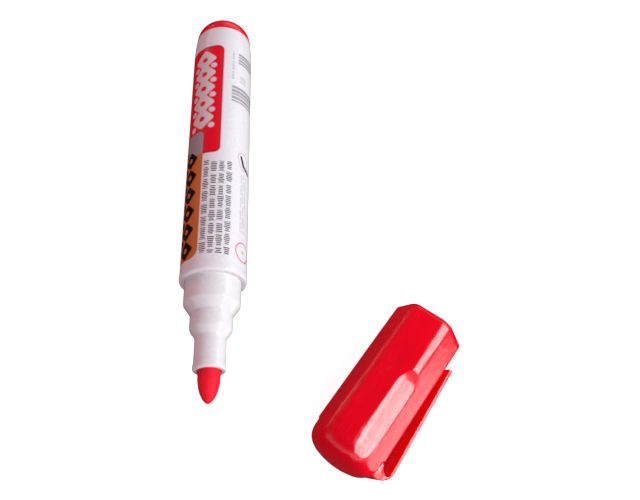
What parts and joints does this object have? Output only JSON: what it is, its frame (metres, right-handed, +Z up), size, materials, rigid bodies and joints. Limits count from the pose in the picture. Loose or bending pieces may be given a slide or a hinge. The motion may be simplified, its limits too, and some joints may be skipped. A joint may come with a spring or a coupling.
{
  "type": "whiteboard marker",
  "caption": "Bullet-tip dry-wipe marker with a stepped nose and domed end plug, lying beside its pulled-off cap with a pocket clip.",
  "frame": {"origin": "on the table, under the middle of the bounding box of the marker and its cap as they lie", "axes": "+Y along the marker's axis from the nib to the end plug, +X towards the side where the cap lies, +Z up"},
  "size_m": [0.0713, 0.1415, 0.0176],
  "materials": {
    "barrel": "white polypropylene with printed panels, semi-gloss",
    "nose_section": "white polypropylene, smooth semi-gloss",
    "nib": "bonded fibre, soaked in red ink",
    "ink_reservoir": "fibre bundle, soaked in red ink",
    "reservoir_film": "thin wrapping film",
    "end_plug": "red polypropylene, glossy",
    "cap_shell": "red polypropylene, glossy, lightly scuffed",
    "cap_inner_seal": "natural polyethylene"
  },
  "bodies": {
    "marker": {"barrel": "barrel", "nose_section": "nose_section", "nib": "nib", "ink_reservoir": "ink_reservoir", "reservoir_film": "reservoir_film", "end_plug": "end_plug"},
    "cap": {"cap_shell": "cap_shell", "cap_inner_seal": "cap_inner_seal"}
  },
  "joints": [
    {"name": "cap_swing", "type": "hinge", "parent": "marker", "child": "cap", "pos_m": [0.05022, -0.13263, 0], "axis": [0, 0, 1], "range_deg": [0, 36.65]}
  ]
}
